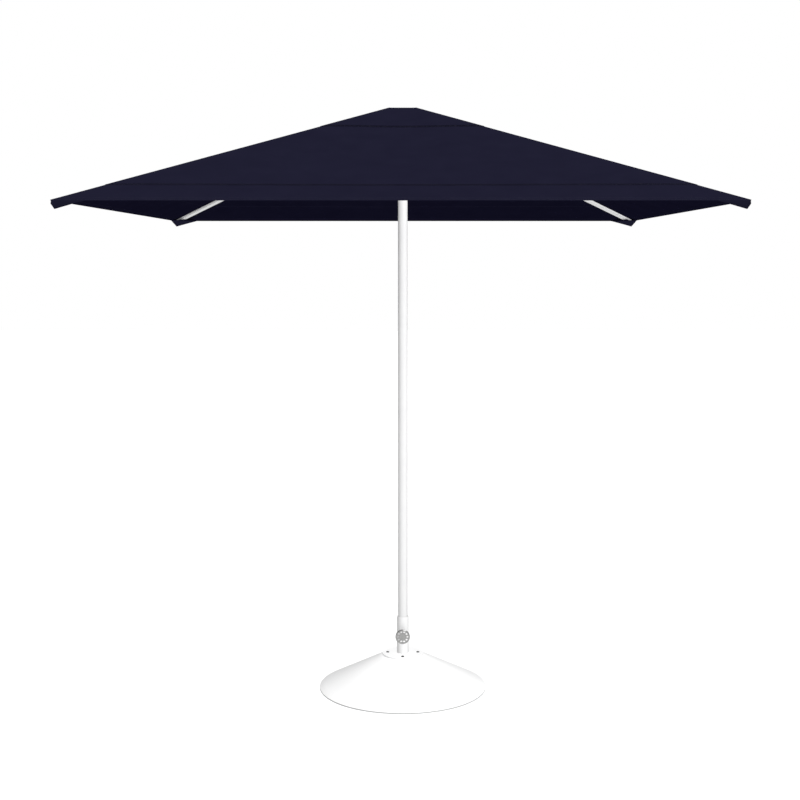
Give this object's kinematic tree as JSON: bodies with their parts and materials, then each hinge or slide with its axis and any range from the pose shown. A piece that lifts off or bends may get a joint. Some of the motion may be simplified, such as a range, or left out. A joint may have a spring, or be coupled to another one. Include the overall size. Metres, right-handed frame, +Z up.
{
  "type": "patio umbrella with base",
  "caption": "Square canvas patio umbrella on a straight centre mast, held by ribs and struts on a sliding runner, in a weighted conical round base with a hand-wheel clamp.",
  "frame": {"origin": "middle of the footprint, on the ground under the rubber pads", "axes": "+Z up along the mast; the canopy's edges lie along X and Y; -Y is the side with the base's hand wheel"},
  "size_m": [2.5, 2.5, 2.6095],
  "materials": {
    "coated_aluminium": "white powder coat",
    "coated_steel": "white powder coat, satin",
    "stainless_steel": "brushed stainless",
    "black_steel": "black oxide",
    "zinc_steel": "zinc plated",
    "cast_aluminium": "cast, natural",
    "grey_steel": "primer",
    "brass": "plain",
    "concrete": "cast, rough",
    "rubber": "matte",
    "white_nylon": "satin",
    "dark_nylon": "satin",
    "navy_canvas": "woven, matte",
    "navy_plastic": "satin"
  },
  "bodies": {
    "base": {"base_shell": "coated_steel", "base_ballast": "concrete", "bottom_plate": "grey_steel", "floor_pads": "rubber", "flange_plate": "coated_steel", "socket_tube": "coated_steel", "flange_screws": "black_steel", "screw_anchors": "zinc_steel", "socket_bushes": "white_nylon", "clamp_boss": "coated_steel"},
    "clamp_pad": {"clamp_pad": "brass"},
    "knob": {"clamp_stud": "stainless_steel", "hand_wheel": "stainless_steel"},
    "mast_foot": {"foot_plug": "dark_nylon"},
    "mast": {"mast_tube": "coated_aluminium", "top_hub": "coated_aluminium", "hub_pins": "zinc_steel", "hub_screws": "zinc_steel", "crown_plate": "coated_aluminium", "crown_stud": "zinc_steel", "finial_cap": "navy_plastic", "canopy_crown": "navy_canvas"},
    "runner": {"runner_body": "coated_aluminium", "runner_liner": "dark_nylon", "runner_pins": "zinc_steel"},
    "lock_pad": {"lock_pad": "brass"},
    "lock_knob": {"lock_stud": "zinc_steel", "lock_knob": "dark_nylon"},
    "rib_1": {"rib_1": "coated_aluminium", "rib_eye_1": "cast_aluminium", "rib_bracket_1": "coated_aluminium", "bracket_pin_1": "zinc_steel", "rib_tip_1": "dark_nylon", "canopy_panel_1": "navy_canvas"},
    "strut_1": {"strut_1": "coated_aluminium", "strut_ends_1": "cast_aluminium"},
    "rib_2": {"rib_2": "coated_aluminium", "rib_eye_2": "cast_aluminium", "rib_bracket_2": "coated_aluminium", "bracket_pin_2": "zinc_steel", "rib_tip_2": "dark_nylon", "canopy_panel_2": "navy_canvas"},
    "strut_2": {"strut_2": "coated_aluminium", "strut_ends_2": "cast_aluminium"},
    "rib_3": {"rib_3": "coated_aluminium", "rib_eye_3": "cast_aluminium", "rib_bracket_3": "coated_aluminium", "bracket_pin_3": "zinc_steel", "rib_tip_3": "dark_nylon", "canopy_panel_3": "navy_canvas"},
    "strut_3": {"strut_3": "coated_aluminium", "strut_ends_3": "cast_aluminium"},
    "rib_4": {"rib_4": "coated_aluminium", "rib_eye_4": "cast_aluminium", "rib_bracket_4": "coated_aluminium", "bracket_pin_4": "zinc_steel", "rib_tip_4": "dark_nylon", "canopy_panel_4": "navy_canvas"},
    "strut_4": {"strut_4": "coated_aluminium", "strut_ends_4": "cast_aluminium"}
  },
  "joints": [
    {"name": "mast_lift", "type": "slide", "parent": "base", "child": "mast_foot", "axis": [0, 0, 1], "range_m": [0, 0.32]},
    {"name": "mast_turn", "type": "hinge", "parent": "mast_foot", "child": "mast", "pos_m": [0, 0, 0.03], "axis": [0, 0, 1], "continuous": true},
    {"name": "knob_turn", "type": "hinge", "parent": "clamp_pad", "child": "knob", "pos_m": [0, -0.05, 0.239], "axis": [0, -1, 0], "range_deg": [0, 1081]},
    {"name": "clamp_slide", "type": "slide", "parent": "base", "child": "clamp_pad", "axis": [0, -1, 0], "range_m": [0, 0.0045]},
    {"name": "canopy_fold", "type": "hinge", "parent": "mast", "child": "rib_1", "pos_m": [0.03253, 0.03253, 2.586], "axis": [-0.7071, 0.7071, 0], "range_deg": [0, 73], "deforming": ["canopy_panel_1"]},
    {"name": "rib_2_fold", "type": "hinge", "parent": "mast", "child": "rib_2", "pos_m": [-0.03253, 0.03253, 2.586], "axis": [-0.7071, -0.7071, 0], "range_deg": [0, 73], "deforming": ["canopy_panel_2"]},
    {"name": "rib_3_fold", "type": "hinge", "parent": "mast", "child": "rib_3", "pos_m": [-0.03253, -0.03253, 2.586], "axis": [0.7071, -0.7071, 0], "range_deg": [0, 73], "deforming": ["canopy_panel_3"]},
    {"name": "rib_4_fold", "type": "hinge", "parent": "mast", "child": "rib_4", "pos_m": [0.03253, -0.03253, 2.586], "axis": [0.7071, 0.7071, 0], "range_deg": [0, 73], "deforming": ["canopy_panel_4"]},
    {"name": "strut_1_fold", "type": "hinge", "parent": "rib_1", "child": "strut_1", "pos_m": [0.45249, 0.45249, 2.40694], "axis": [-0.7071, 0.7071, 0], "range_deg": [-146, 0]},
    {"name": "strut_2_fold", "type": "hinge", "parent": "rib_2", "child": "strut_2", "pos_m": [-0.45249, 0.45249, 2.40694], "axis": [-0.7071, -0.7071, 0], "range_deg": [-146, 0]},
    {"name": "strut_3_fold", "type": "hinge", "parent": "rib_3", "child": "strut_3", "pos_m": [-0.45249, -0.45249, 2.40694], "axis": [0.7071, -0.7071, 0], "range_deg": [-146, 0]},
    {"name": "strut_4_fold", "type": "hinge", "parent": "rib_4", "child": "strut_4", "pos_m": [0.45249, -0.45249, 2.40694], "axis": [0.7071, 0.7071, 0], "range_deg": [-146, 0]},
    {"name": "runner_pivot", "type": "hinge", "parent": "strut_1", "child": "runner", "pos_m": [0.03253, 0.03253, 2.22788], "axis": [-0.7071, 0.7071, 0], "range_deg": [0, 73]},
    {"name": "lock_turn", "type": "hinge", "parent": "lock_pad", "child": "lock_knob", "pos_m": [0, -0.04, 2.25288], "axis": [0, -1, 0], "range_deg": [0, 721]},
    {"name": "lock_slide", "type": "slide", "parent": "runner", "child": "lock_pad", "axis": [0, -1, 0], "range_m": [0, 0.003]}
  ],
  "couplings": [
    {"joint": "knob_turn", "follows": "clamp_slide", "rad_per_m": 4188.8},
    {"joint": "lock_turn", "follows": "lock_slide", "rad_per_m": 4188.8},
    {"joint": "rib_2_fold", "follows": "canopy_fold", "ratio": 1},
    {"joint": "rib_3_fold", "follows": "canopy_fold", "ratio": 1},
    {"joint": "rib_4_fold", "follows": "canopy_fold", "ratio": 1},
    {"joint": "strut_1_fold", "follows": "canopy_fold", "ratio": -2},
    {"joint": "strut_2_fold", "follows": "canopy_fold", "ratio": -2},
    {"joint": "strut_3_fold", "follows": "canopy_fold", "ratio": -2},
    {"joint": "strut_4_fold", "follows": "canopy_fold", "ratio": -2},
    {"joint": "runner_pivot", "follows": "canopy_fold", "ratio": 1}
  ]
}
